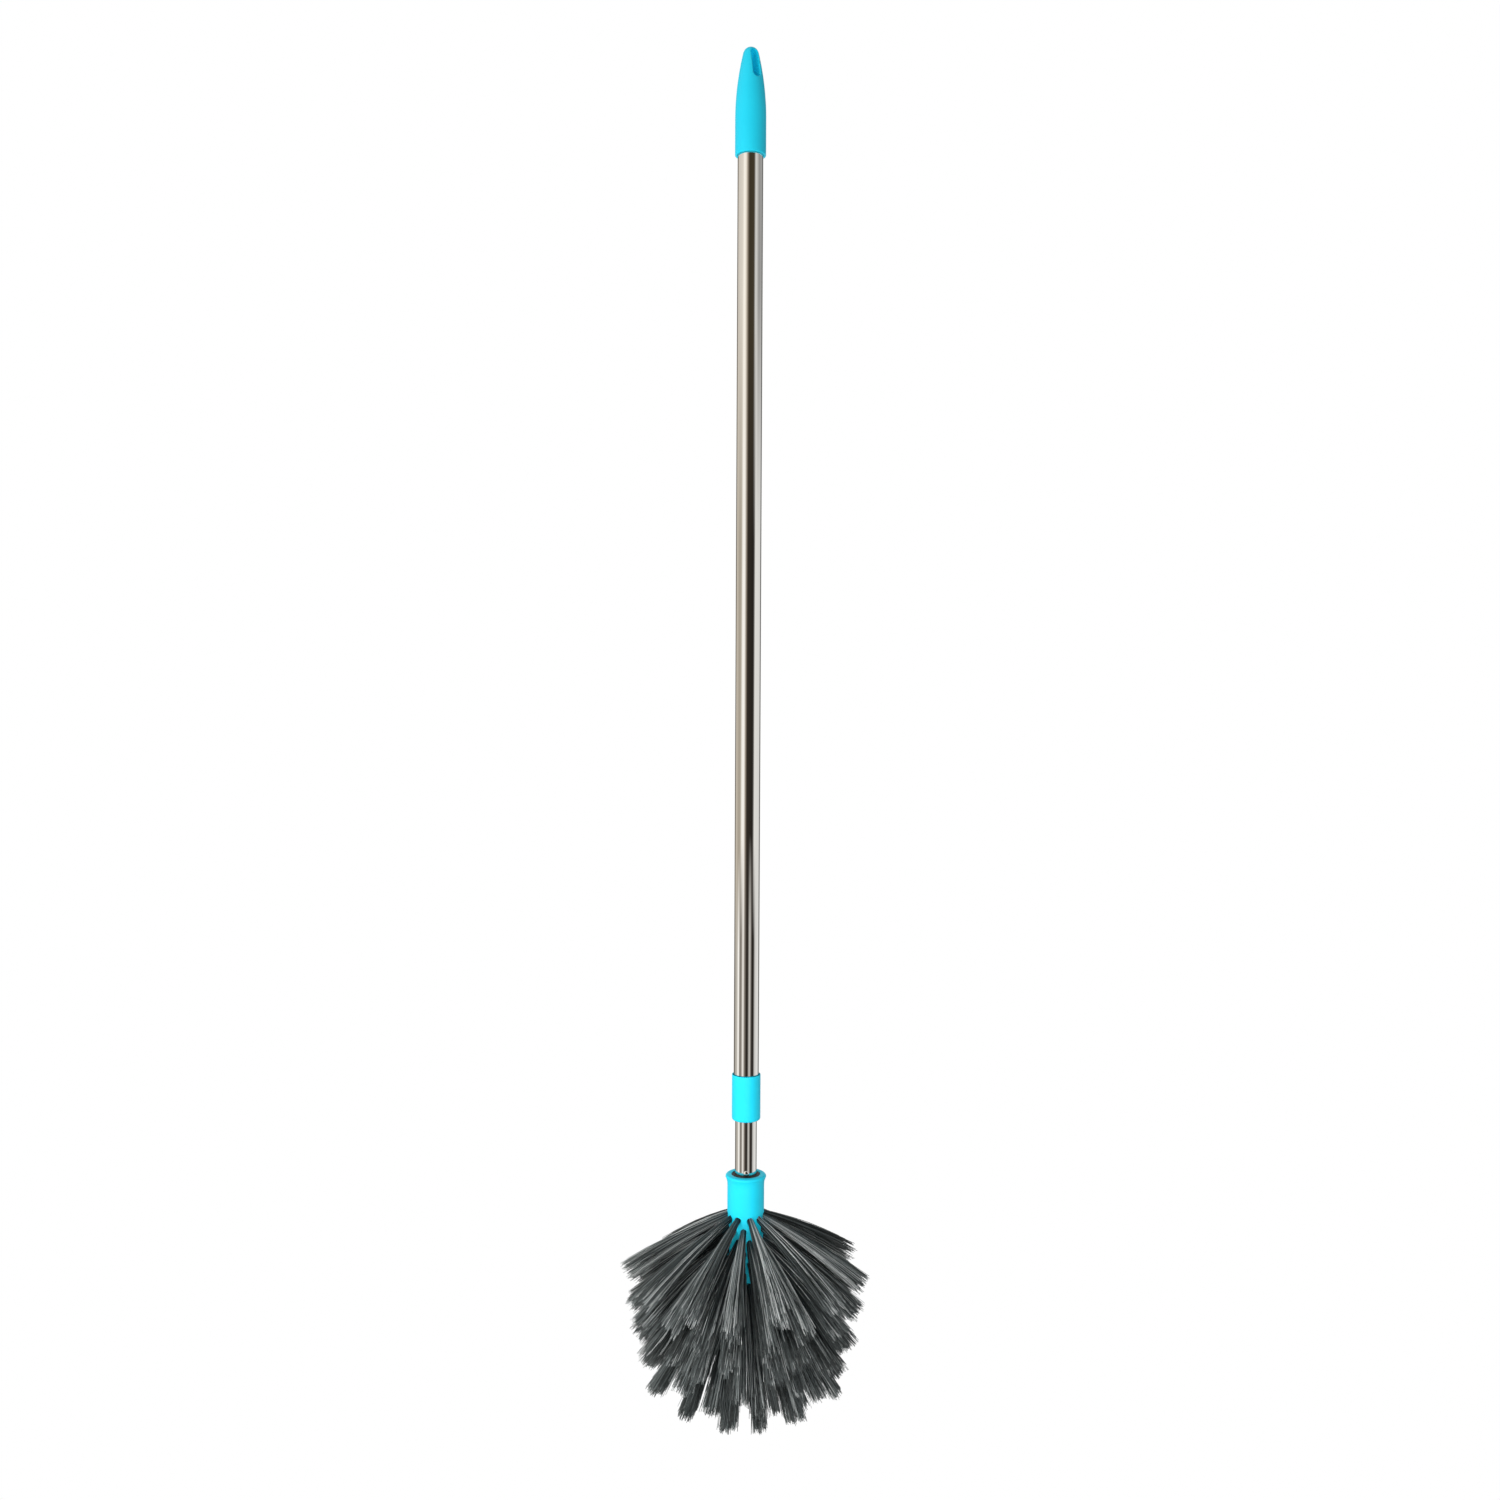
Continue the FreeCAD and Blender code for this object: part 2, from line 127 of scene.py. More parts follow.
def make_surface_group():
    """Fine unevenness that every moulded or drawn surface has: a slow drift of tone, and a
    grain that can be drawn out along the pole."""
    group = bpy.data.node_groups.new("fine_surface", "ShaderNodeTree")
    for name, start in (("Drift Size", 60.0), ("Grain Size", 900.0), ("Draw Out", 1.0)):
        group.interface.new_socket(name, socket_type="NodeSocketFloat").default_value = start
    for name in ("Drift", "Grain"):
        group.interface.new_socket(name, in_out="OUTPUT", socket_type="NodeSocketFloat")
    build = Tree(group)
    given = build.add("NodeGroupInput").outputs
    place = build.add("ShaderNodeTexCoord").outputs["Object"]
    settings = {"Vector": place, "Scale": given["Drift Size"], "Detail": 3.0}
    drift = build.add("ShaderNodeTexNoise", settings)
    along = build.add("ShaderNodeCombineXYZ", {0: 1.0, 1: 1.0, 2: given["Draw Out"]}).outputs[0]
    drawn = build.add("ShaderNodeVectorMath", {0: place, 1: along}, operation="MULTIPLY").outputs[0]
    settings = {"Vector": drawn, "Scale": given["Grain Size"], "Detail": 2.0}
    grain = build.add("ShaderNodeTexNoise", settings)
    build.add("NodeGroupOutput", {"Drift": drift.outputs[0], "Grain": grain.outputs[0]})
    return group


def new_material(name, surface, drift_size, grain_size, draw_out=1.0):
    """A material with the fine surface group placed in it."""
    material = bpy.data.materials.new(name)
    material.use_nodes = True
    build = Tree(material.node_tree)
    node = build.add("ShaderNodeGroup", node_tree=surface)
    sizes = {"Drift Size": drift_size, "Grain Size": grain_size, "Draw Out": draw_out}
    for key, value in sizes.items():
        build.feed(node.inputs[key], value)
    shader = build.add("ShaderNodeBsdfPrincipled")
    build.add("ShaderNodeOutputMaterial", {0: shader.outputs[0]})
    return material, build, shader, node.outputs["Drift"], node.outputs["Grain"]


def bumped(build, shader, height, depth):
    """A bump of that depth in metres on a shader."""
    bump = build.add("ShaderNodeBump", {"Strength": 1.0, "Distance": depth, "Height": height})
    build.feed(shader.inputs["Normal"], bump.outputs[0])


def make_blue_plastic(surface):
    """Satin bright blue moulding with a faint grain and a slow drift of tone. It has no sheen on
    faces that are marked as inside."""
    material, build, shader, drift, grain = new_material("satin_blue", surface, 45.0, 1400.0)
    tone = build.mix(drift, (0.006, 0.66, 0.90, 1), (0.012, 0.73, 0.95, 1))
    build.feed(shader.inputs["Base Color"], tone)
    build.feed(shader.inputs["Roughness"], build.span(grain, 0.3, 0.7, 0.44, 0.56))
    inside = build.add("ShaderNodeAttribute", attribute_name="inside").outputs["Fac"]
    build.feed(shader.inputs["Specular IOR Level"], build.span(inside, 0.0, 1.0, 0.35, 0.0))
    bumped(build, shader, grain, 0.00002)
    return material


def make_polished_steel(surface):
    """Mirror polished tube with faint drawing lines along it and a slow change of gloss."""
    made = new_material("mirror_steel", surface, 25.0, 2600.0, draw_out=0.01)
    material, build, shader, drift, grain = made
    tone = build.mix(grain, (0.84, 0.83, 0.81, 1), (0.92, 0.91, 0.89, 1))
    build.feed(shader.inputs["Base Color"], tone)
    shader.inputs["Metallic"].default_value = 1.0
    worn = build.total(build.product(grain, 0.02), build.product(drift, 0.02), 0.008)
    build.feed(shader.inputs["Roughness"], worn)
    return material


def make_inner_plastic(surface):
    """Plain off-white moulding of the pieces inside the pole."""
    material, build, shader, drift, grain = new_material("plain_moulding", surface, 80.0, 1500.0)
    tone = build.mix(drift, (0.74, 0.74, 0.71, 1), (0.83, 0.83, 0.80, 1))
    build.feed(shader.inputs["Base Color"], tone)
    build.feed(shader.inputs["Roughness"], build.span(grain, 0.3, 0.7, 0.48, 0.6))
    bumped(build, shader, grain, 0.00004)
    return material


def make_black_plastic(surface):
    """Plain black moulding of the threaded nose in the head's mouth. Its black is partly painted
    shade, darkening the mouth where shade falls.
    """
    material, build, shader, drift, grain = new_material("black_moulding", surface, 80.0, 1500.0)
    tone = build.mix(drift, (0.008, 0.009, 0.010, 1), (0.014, 0.015, 0.016, 1))
    build.feed(shader.inputs["Base Color"], tone)
    build.feed(shader.inputs["Roughness"], build.span(grain, 0.3, 0.7, 0.5, 0.65))
    bumped(build, shader, grain, 0.00004)
    return material


def make_wire(surface):
    """Drawn steel wire."""
    material, build, shader, drift, grain = new_material("drawn_wire", surface, 300.0, 3000.0)
    tone = build.mix(grain, (0.52, 0.52, 0.51, 1), (0.66, 0.66, 0.65, 1))
    build.feed(shader.inputs["Base Color"], tone)
    shader.inputs["Metallic"].default_value = 1.0
    build.feed(shader.inputs["Roughness"], build.span(drift, 0.3, 0.7, 0.3, 0.45))
    return material


def make_bristle(surface):
    """Grey plastic filaments: each has a tone of its own, from a ramp that reaches past the
    plastic's own greys, so its darkest stops are partly painted shade and its palest partly painted
    highlights.
    Painted shade darkens them at the root, and they are paler at the tip."""
    material, build, shader, drift, grain = new_material("grey_bristle", surface, 90.0, 2500.0)
    tone = build.add("ShaderNodeAttribute", attribute_name="tone").outputs["Fac"]
    along = build.add("ShaderNodeAttribute", attribute_name="along").outputs["Fac"]
    # The tone ramp holds the filaments' own greys, spread wider: the darkest stops add painted
    # shade between filaments, and the palest add painted highlights on a few.
    body = build.ramp(tone, [
        (0.0, (0.003, 0.005, 0.005)),
        (0.34, (0.017, 0.023, 0.024)),
        (0.56, (0.054, 0.067, 0.068)),
        (0.76, (0.19, 0.215, 0.215)),
        (0.96, (0.80, 0.83, 0.82)),
    ])
    tip = build.product(build.span(along, 0.6, 1.0, 0.0, 0.35), drift)
    body = build.mix(tip, body, (0.20, 0.215, 0.21, 1))
    # Painted shade at the root: the tone is mixed up to half way towards near black over the first
    # 40% of each filament.
    painted_root_shade = build.span(along, 0.0, 0.4, 0.5, 0.0)
    build.feed(shader.inputs["Base Color"], build.mix(painted_root_shade, body, (0.012, 0.014, 0.015, 1)))
    build.feed(shader.inputs["Roughness"], build.span(grain, 0.3, 0.7, 0.36, 0.5))
    return material


# Meshes

def finish_mesh(name, work, material, body, stands_for):
    """Turns a bmesh in millimetres into a piece that rides on a body and stands for nodes."""
    bmesh.ops.remove_doubles(work, verts=work.verts, dist=WELD)
    bmesh.ops.recalc_face_normals(work, faces=work.faces)
    bmesh.ops.scale(work, vec=Vector((MM, MM, MM)), verts=work.verts)
    mesh = bpy.data.meshes.new(name)
    work.to_mesh(mesh)
    work.free()
    mesh.shade_smooth()
    mesh.set_sharp_from_angle(angle=math.radians(SHARP_ANGLE))
    mesh.materials.append(material)
    place(bpy.data.objects.new(name, mesh), body, stands_for)


def place(piece, body, stands_for):
    """Links a piece into the scene on a body, in place of CAD nodes."""
    bpy.context.scene.collection.objects.link(piece)
    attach(piece, body)
    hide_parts(*stands_for)


def rounded(corners, steps=5):
    """An outline through (radius, height, round) corners, with each corner rounded."""
    spots = []
    for i, (radius, height, fillet) in enumerate(corners):
        here = Vector((radius, height))
        if not fillet:
            spots.append(here)
            continue
        before = (Vector(corners[i - 1][:2]) - here).normalized()
        after = (Vector(corners[(i + 1) % len(corners)][:2]) - here).normalized()
        half = before.angle(after) / 2
        reach = fillet / math.tan(half)
        start, end = here + before * reach, here + after * reach
        middle = here + (before + after).normalized() * fillet / math.sin(half)
        for step in range(steps + 1):
            share = step / steps
            spoke = (start - middle).lerp(end - middle, share).normalized() * fillet
            spots.append(middle + spoke)
    return spots


def turn(work, spots, segments, closed=True):
    """Adds a shape turned about the pole's axis from an outline of (radius, height) spots."""
    rings = []
    for radius, height in spots:
        ring = []
        for k in range(segments if radius else 1):
            angle = math.tau * k / segments
            x, y = radius * math.cos(angle), radius * math.sin(angle)
            ring.append(work.verts.new((x, y, height)))
        rings.append(ring)
    if closed:
        rings.append(rings[0])
    for lower, upper in zip(rings, rings[1:]):
        if len(lower) == len(upper) == 1:
            continue
        for k in range(segments):
            around = [lower[k % len(lower)], lower[(k + 1) % len(lower)]]
            around += [upper[(k + 1) % len(upper)], upper[k % len(upper)]]
            work.faces.new(list(dict.fromkeys(around)))


def make_tubes(steel):
    """The two polished tubes, with eased ends."""
    wall, ease, segments = 0.6, 0.25, 144
    for name, body, node, radius in (
        ("outer_pole", "pole_outer", "outer_tube", 11.0),
        ("inner_pole_tube", "inner_pole", "inner_tube", 9.5),
    ):
        bottom, top = (corner.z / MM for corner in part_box(node))
        corners = [
            (radius - wall, bottom, 0),
            (radius, bottom, ease),
            (radius, top, ease),
            (radius - wall, top, 0),
        ]
        work = bmesh.new()
        turn(work, rounded(corners), segments)
        finish_mesh(name, work, steel, body, [node])


def make_lock_nut(blue):
    """The twist-lock collar: its mouth takes the outer tube's end, its thread the ferrule, and its
    cone narrows on the clamp ring down to the bore that the inner tube passes."""
    bottom, top = (corner.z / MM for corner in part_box("lock_nut"))
    outer, mouth, thread, cone_top, cone_foot, bore = 12.4, 11.75, 11.12, 10.9, 10.4, 9.85
    mouth_floor, thread_floor, cone_floor = top - 3, bottom + 14.5, bottom + 5.5
    corners = [
        (bore, bottom, 0.4),
        (outer, bottom, 2.2),
        (outer, top, 0.3),
        (mouth, top, 0.2),
        (mouth, mouth_floor, 0),
        (thread, mouth_floor, 0),
        (thread, thread_floor, 0),
        (cone_top, thread_floor, 0),
        (cone_foot, cone_floor, 0),
        (bore, cone_floor, 0),
    ]
    work = bmesh.new()
    turn(work, rounded(corners), segments=128)
    finish_mesh("lock_collar", work, blue, "lock_nut", ["lock_nut"])


# The grip's heights are above its rim: it is straight, then bowed in, then domed.

GRIP_RADIUS, DOME_RADIUS = 13.2, 6.6
BOW_FROM, DOME_FROM, GRIP_TOP = 30, 86, 91


def grip_radius(height):
    """The grip's outer radius at a height."""
    if height <= BOW_FROM:
        return GRIP_RADIUS
    if height <= DOME_FROM:
        drop = GRIP_RADIUS - DOME_RADIUS
        bend = ((DOME_FROM - BOW_FROM) ** 2 + drop**2) / (2 * drop)
        return GRIP_RADIUS - bend + math.sqrt(bend**2 - (height - BOW_FROM) ** 2)
    middle = (GRIP_TOP**2 - DOME_FROM**2 - DOME_RADIUS**2) / (2 * (GRIP_TOP - DOME_FROM))
    return math.sqrt(max((GRIP_TOP - middle) ** 2 - (height - middle) ** 2, 0))


def slot_outline(side, straight, middle, across, upright):
    """Spots round the hang slot, each with its way out from the slot's middle line."""
    spots = []
    for k in range(across):
        angle = -math.pi + math.pi * k / across
        way = (math.cos(angle), math.sin(angle))
        spots.append(((side * way[0], middle - straight + side * way[1]), way))
    for k in range(upright):
        spots.append(((side, middle - straight + 2 * straight * k / upright), (1, 0)))
    for k in range(across):
        angle = math.pi * k / across
        way = (math.cos(angle), math.sin(angle))
        spots.append(((side * way[0], middle + straight + side * way[1]), way))
    for k in range(upright):
        spots.append(((-side, middle + straight - 2 * straight * k / upright), (-1, 0)))
    return spots


def patch_outline(low, high, across, upright):
    """Angles and heights round the half of the grip that is laid about the slot."""
    quarter = math.pi / 2
    spots = [(-quarter + math.pi * k / across, low) for k in range(across)]
    spots += [(quarter, low + (high - low) * k / upright) for k in range(upright)]
    spots += [(quarter - math.pi * k / across, high) for k in range(across)]
    spots += [(-quarter, high - (high - low) * k / upright) for k in range(upright)]
    return spots


def turn_grip_ends(work, low, high, segments):
    """Adds the grip's skirt with its bore, below the slot, and the top of its dome above it."""
    bore, bore_top, bore_middle, levels_apart = 11.05, 52, 6, 2
    straight = BOW_FROM // 5
    levels = [low - levels_apart * k for k in range(15)]
    levels += range(BOW_FROM - straight, 0, -straight)
    skirt = [(grip_radius(height), height) for height in levels]
    rim = [(GRIP_RADIUS, straight, 0), (GRIP_RADIUS, 0, 0.9), (bore, 0, 0.4), (bore, bore_top, 0)]
    skirt += rounded(rim)[1:]
    skirt += [(bore_middle, bore_top), (0, bore_top)]
    turn(work, skirt, segments, closed=False)
    dome_steps = 6
    heights = [high + (GRIP_TOP - high) * k / dome_steps for k in range(dome_steps)]
    dome = [(grip_radius(height), height) for height in heights]
    turn(work, dome + [(0, GRIP_TOP)], segments, closed=False)


def lay_slot_side(work, facing, slot, patch, ease):
    """Adds the skin on one side of the slot in rings: over the eased lip, then out to a half of
    the grip. Returns the lip's inner edge."""
    lip_steps, rings = 6, 12
    grid = []
    for step in range(lip_steps + 1):
        lift = math.pi / 2 * step / lip_steps
        out, sink = ease * (1 - math.cos(lift)), ease * (1 - math.sin(lift))
        row = []
        for (x, height), way in slot:
            x, height = x + out * way[0], height + out * way[1]
            skin = math.sqrt(grip_radius(height) ** 2 - x**2)
            row.append(work.verts.new((x, facing * (skin - sink), height)))
        grid.append(row)
    for ring in range(1, rings + 1):
        share = ring / rings
        row = []
        for ((x, height), way), (turned, level) in zip(slot, patch):
            x, height = x + ease * way[0], height + ease * way[1]
            angle = math.asin(x / grip_radius(height)) * (1 - share) + turned * share
            height = height * (1 - share) + level * share
            radius = grip_radius(height)
            spot = (radius * math.sin(angle), facing * radius * math.cos(angle), height)
            row.append(work.verts.new(spot))
        grid.append(row)
    join_rows(work, grid)
    return grid[0]


def make_grip(blue):
    """The bullet-shaped grip with its hang slot. The slot's wall narrows a little to its middle,
    and is marked as inside."""
    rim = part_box("end_grip")[0].z / MM
    patch_low, patch_high, ease, draft = 58.0, 90.0, 1.1, 0.6
    slot_side, slot_straight, slot_middle = 3.5, 8.75, 76.0
    across, upright, wall_steps = 48, 22, 8
    work = bmesh.new()
    inside = work.verts.layers.float.new("inside")
    turn_grip_ends(work, patch_low, patch_high, 2 * across)
    slot = slot_outline(slot_side, slot_straight, slot_middle, across, upright)
    patch = patch_outline(patch_low, patch_high, across, upright)
    near, far = (lay_slot_side(work, facing, slot, patch, ease) for facing in (-1, 1))
    through = [near]
    for step in range(1, wall_steps):
        share = step / wall_steps
        inward = draft * math.sin(math.pi * share)
        row = []
        for a, b, (_, way) in zip(near, far, slot):
            spot = a.co.lerp(b.co, share) - inward * Vector((way[0], 0, way[1]))
            row.append(work.verts.new(spot))
        through.append(row)
    through.append(far)
    for vert in itertools.chain(*through):
        vert[inside] = 1.0
    join_rows(work, through)
    bmesh.ops.translate(work, vec=Vector((0, 0, rim)), verts=work.verts)
    finish_mesh("hang_grip", work, blue, "pole_outer", ["end_grip"])


def join_rows(work, rows):
    """Lays faces between closed rows of points, one row to the next."""
    for inner, outer in zip(rows, rows[1:]):
        for k in range(len(inner)):
            after = (k + 1) % len(inner)
            work.faces.new([inner[k], inner[after], outer[after], outer[k]])


# Bristles

# What a ring of tufts is made from, in metres and radians
TUFT_INPUTS = {
    "Tufts": 10,
    "Filaments": 270,
    "First Angle": 0.0,
    "Root Radius": 0.0155,
    "Root Height": -1.0,
    "Tilt": 0.6,
    "Length": 0.107,
    "Inset": 0.006,
    "Root Spread": 0.0020,
    "Tip Spread": 0.0102,
    "Thickness": 0.00036,
    "Arch": 0.0025,
    "Crimp": 0.0007,
    "Strands": 64,
    # A shift of the whole ring's tone: painted top light, paler on upper rings and darker on lower
    # ones.
    "Painted Light Shift": 0.0,
    "Seed": 1,
}


class TuftTree(Tree):
    """The tree that makes a ring of bristle tufts."""

    def chance(self, low, high, who, salt):
        """A random number that is the same for every filament with the same number."""
        node = self.add("FunctionNodeRandomValue", data_type="FLOAT")
        chosen = {socket.identifier: socket for socket in node.inputs}
        self.feed(chosen["Min_001"], low)
        self.feed(chosen["Max_001"], high)
        self.feed(chosen["ID"], who)
        self.feed(chosen["Seed"], self.math("ADD", self.given["Seed"], salt))
        return next(s for s in node.outputs if s.identifier == "Value_001")

    def keep(self, geometry, name, value):
        """Stores a value on each point under a name."""
        node = self.add("GeometryNodeStoreNamedAttribute", data_type="FLOAT", domain="POINT")
        self.feed(node.inputs["Geometry"], geometry)
        self.feed(node.inputs["Name"], name)
        self.feed(node.inputs["Value"], value)
        return node.outputs[0]

    def recall(self, name):
        """A value stored under a name."""
        node = self.add("GeometryNodeInputNamedAttribute", {"Name": name}, data_type="FLOAT")
        return node.outputs[0]


def make_tuft_tree():
    """A ring of tufts round the core. Every filament is a thin tapered rod, set out from its
    tuft's hole, fanned towards the tip, gathered in strands, arched and crimped."""
    tree = bpy.data.node_groups.new("tuft_ring", "GeometryNodeTree")
    for name, start in TUFT_INPUTS.items():
        kind = "NodeSocketInt" if isinstance(start, int) else "NodeSocketFloat"
        tree.interface.new_socket(name, socket_type=kind).default_value = start
    tree.interface.new_socket("Material", socket_type="NodeSocketMaterial")
    tree.interface.new_socket("Tufts", in_out="OUTPUT", socket_type="NodeSocketGeometry")
    build = TuftTree(tree)
    given = build.given = build.add("NodeGroupInput").outputs
    number = build.add("GeometryNodeInputIndex").outputs[0]
    count = build.product(given["Tufts"], given["Filaments"])
    points = build.add("GeometryNodePoints", {"Count": count}).outputs[0]
    tuft = build.math("FLOOR", build.math("DIVIDE", build.total(number, 0.5), given["Filaments"]))
    part = build.math("DIVIDE", math.tau, given["Tufts"])
    jitter = build.chance(-0.08, 0.08, tuft, salt=11)
    strand = build.math("FLOOR", build.chance(0.0, given["Strands"], number, salt=12))
    most_strands = 100
    strand_number = build.total(build.product(tuft, most_strands), strand)
    strand_out = build.math("SQRT", build.chance(0.0, 1.0, strand_number, salt=13))
    strand_way = build.chance(0.0, math.tau, strand_number, salt=14)
    own_out = build.math("SQRT", build.chance(0.0, 1.0, number, salt=15))
    own_way = build.chance(0.0, math.tau, number, salt=16)
    strand_share, own_share = 0.88, 0.13
    fan_side = build.product(strand_out, build.math("COSINE", strand_way), strand_share)
    fan_lift = build.product(strand_out, build.math("SINE", strand_way), strand_share)
    own_side = build.product(own_out, build.math("COSINE", own_way), own_share)
    own_lift = build.product(own_out, build.math("SINE", own_way), own_share)
    short = build.math("POWER", build.chance(0.0, 1.0, number, salt=17), 2.0)
    strand_reach = build.chance(0.94, 1.0, strand_number, salt=18)
    reach = build.math("SUBTRACT", strand_reach, build.product(short, 0.16))
    loose = build.chance(-1.0, 1.0, number, salt=22)
    kept = {
        "turn": build.total(given["First Angle"], build.product(tuft, part), jitter),
        "lean": build.total(given["Tilt"], build.chance(-0.055, 0.055, tuft, salt=19)),
        "fan_side": build.total(fan_side, own_side),
        "fan_lift": build.total(fan_lift, own_lift),
        "reach": reach,
        "wave": build.chance(0.0, math.tau, number, salt=20),
        "beat": build.chance(5.0, 13.0, number, salt=21),
        "sway": build.product(loose, loose, loose, loose, loose),
        # The tone is random per filament and per strand, plus the ring's painted light shift.
        "tone": build.total(
            build.product(build.chance(0.0, 1.0, number, salt=23), 0.25),
            build.product(build.chance(0.0, 1.0, strand_number, salt=24), 0.75),
            given["Painted Light Shift"],
        ),
    }
    for name, value in kept.items():
        points = build.keep(points, name, value)
    rod = build.add(
        "GeometryNodeMeshCone",
        {"Vertices": 3, "Side Segments": 5, "Radius Top": 0.6, "Radius Bottom": 1.0, "Depth": 1.0},
    ).outputs["Mesh"]
    spot = build.add("GeometryNodeInputPosition").outputs[0]
    rod_height = build.add("ShaderNodeSeparateXYZ", {0: spot}).outputs[2]
    rod = build.keep(rod, "along", rod_height)
    rods = build.add("GeometryNodeInstanceOnPoints", {"Points": points, "Instance": rod}).outputs[0]
    rods = build.add("GeometryNodeRealizeInstances", {"Geometry": rods}).outputs[0]
    along = build.recall("along")
    girth = build.add("ShaderNodeSeparateXYZ", {0: spot})
    spread = build.total(
        given["Root Spread"],
        build.product(build.math("SUBTRACT", given["Tip Spread"], given["Root Spread"]), along),
    )
    arch = build.product(given["Arch"], along, build.math("SUBTRACT", 1.0, along), 4.0)
    phase = build.total(build.product(build.recall("beat"), along), build.recall("wave"))
    swing = build.math("SINE", phase)
    crimp = build.product(given["Crimp"], swing, build.math("POWER", along, 1.5))
    farthest_stray = 0.005
    stray = build.product(build.recall("sway"), along, along, farthest_stray)
    side = build.total(
        build.product(build.recall("fan_side"), spread),
        build.product(girth.outputs[0], given["Thickness"]),
        crimp,
        stray,
    )
    lift = build.total(
        build.product(build.recall("fan_lift"), spread),
        build.product(girth.outputs[1], given["Thickness"]),
        build.product(crimp, build.recall("sway")),
        arch,
    )
    out = build.total(
        build.product(along, build.total(given["Length"], given["Inset"]), build.recall("reach")),
        build.product(given["Inset"], -1.0),
    )
    lean = build.recall("lean")
    cosine, sine = build.math("COSINE", lean), build.math("SINE", lean)
    sunk = build.product(sine, out, -1.0)
    x = build.total(given["Root Radius"], build.product(cosine, out), build.product(sine, lift))
    z = build.total(given["Root Height"], sunk, build.product(cosine, lift))
    laid = build.add("ShaderNodeCombineXYZ", {0: x, 1: side, 2: z}).outputs[0]
    settings = {"Vector": laid, "Angle": build.recall("turn")}
    turned = build.add("ShaderNodeVectorRotate", settings, rotation_type="Z_AXIS").outputs[0]
    rods = build.add("GeometryNodeSetPosition", {"Geometry": rods, "Position": turned}).outputs[0]
    for name in kept:
        if name != "tone":
            settings = {"Geometry": rods, "Name": name}
            rods = build.add("GeometryNodeRemoveAttribute", settings).outputs[0]
    settings = {"Geometry": rods, "Material": given["Material"]}
    rods = build.add("GeometryNodeSetMaterial", settings).outputs[0]
    build.add("NodeGroupOutput", {"Tufts": rods})
    return tree


def make_tuft_ring(name, node, tree, material, values):
    """Grows one ring of tufts and keeps it as a plain mesh in place of its CAD node."""
    grower = bpy.data.objects.new(name + "_grower", bpy.data.meshes.new(name + "_grower"))
    bpy.context.scene.collection.objects.link(grower)
    modifier = grower.modifiers.new("tufts", "NODES")
    modifier.node_group = tree
    sockets = {item.name: item for item in tree.interface.items_tree if item.in_out == "INPUT"}
    for key, value in values.items():
        modifier[sockets[key].identifier] = value
    modifier[sockets["Material"].identifier] = material
    depsgraph = bpy.context.evaluated_depsgraph_get()
    mesh = bpy.data.meshes.new_from_object(grower.evaluated_get(depsgraph))
    mesh.name = name
    grower.modifiers.remove(modifier)
    bpy.data.objects.remove(grower)
    mesh.materials.clear()
    mesh.materials.append(material)
    mesh.polygons.foreach_set("material_index", [0] * len(mesh.polygons))
    mesh.shade_smooth()
    place(bpy.data.objects.new(name, mesh), "brush_head", [node])


def make_tufts(material):
    """All the rings of tufts, from the neck to the end of the core."""
    tree = make_tuft_tree()
    rows, first_angle, angle_step = 8, 33.6, 18
    first_height, row_pitch = -987.1, 9.6
    first_tilt, tilt_step = 31.5, 2.7
    full_spread, lower_spread = 10.4, 14.4
    # Painted top light: each ring's tone is raised near the neck and lowered further down, as light
    # from above falls on the head.
    first_painted_light, painted_light_step, least_painted_light = 0.09, 0.05, -0.04
    for i in range(rows):
        values = {
            "First Angle": math.radians(first_angle + angle_step * i),
            "Root Height": (first_height - row_pitch * i) * MM,
            "Tilt": math.radians(first_tilt + tilt_step * i),
            "Tip Spread": min(full_spread, lower_spread - i) * MM,
            "Painted Light Shift": max(least_painted_light, first_painted_light - painted_light_step * i),
            "Seed": 100 + i,
        }
        make_tuft_ring(f"bristle_ring_{i + 1}", f"tuft_row_{i + 1}", tree, material, values)
    slim = {
        "Length": 101 * MM,
        "Tip Spread": 4.9 * MM,
        "Filaments": 190,
        "Arch": 0.0015,
        "Painted Light Shift": least_painted_light,
    }
    values = {
        "First Angle": math.radians(first_angle + angle_step * rows),
        "Root Radius": 12 * MM,
        "Root Height": -1063.55 * MM,
        "Tilt": math.radians(65),
        "Seed": 109,
    }
    make_tuft_ring("bristle_ring_9", "tuft_row_9", tree, material, {**slim, **values})
    values = {
        "Tufts": 5,
        "First Angle": math.radians(first_angle + angle_step * (rows + 1)),
        "Root Radius": 6.5 * MM,
        "Root Height": -1068.8 * MM,
        "Tilt": math.radians(79),
        "Seed": 110,
    }
    make_tuft_ring("bristle_end", "end_tufts", tree, material, {**slim, **values})


# Studio

# The walls of the studio, as stops of (angle to the right of the camera's side, colour). Steel and
# plastic mirror the first three, by the height of the ray, and the last one lights matt surfaces.

HIGH_WALLS = (
    (-180, (0.80, 0.77, 0.73)), (-166, (0.75, 0.71, 0.66)), (-158, (0.07, 0.055, 0.04)),
    (-142, (0.09, 0.07, 0.05)), (-132, (0.66, 0.61, 0.54)), (-110, (0.71, 0.66, 0.59)),
    (-72, (0.79, 0.735, 0.655)),
    (-52, (1.08, 1.03, 0.94)), (-38, (0.93, 0.86, 0.76)), (-28, (0.53, 0.465, 0.385)),
    (-14, (0.14, 0.112, 0.08)), (-5, (0.05, 0.039, 0.024)), (28, (0.056, 0.044, 0.027)),
    (37, (0.075, 0.062, 0.044)), (44, (0.37, 0.36, 0.34)), (52, (0.72, 0.71, 0.69)),
    (62, (0.66, 0.65, 0.63)), (87, (0.32, 0.315, 0.31)), (124, (0.40, 0.40, 0.39)),
    (134, (0.12, 0.118, 0.115)), (150, (0.09, 0.088, 0.085)), (160, (0.80, 0.80, 0.79)),
    (180, (0.80, 0.77, 0.73)),
)
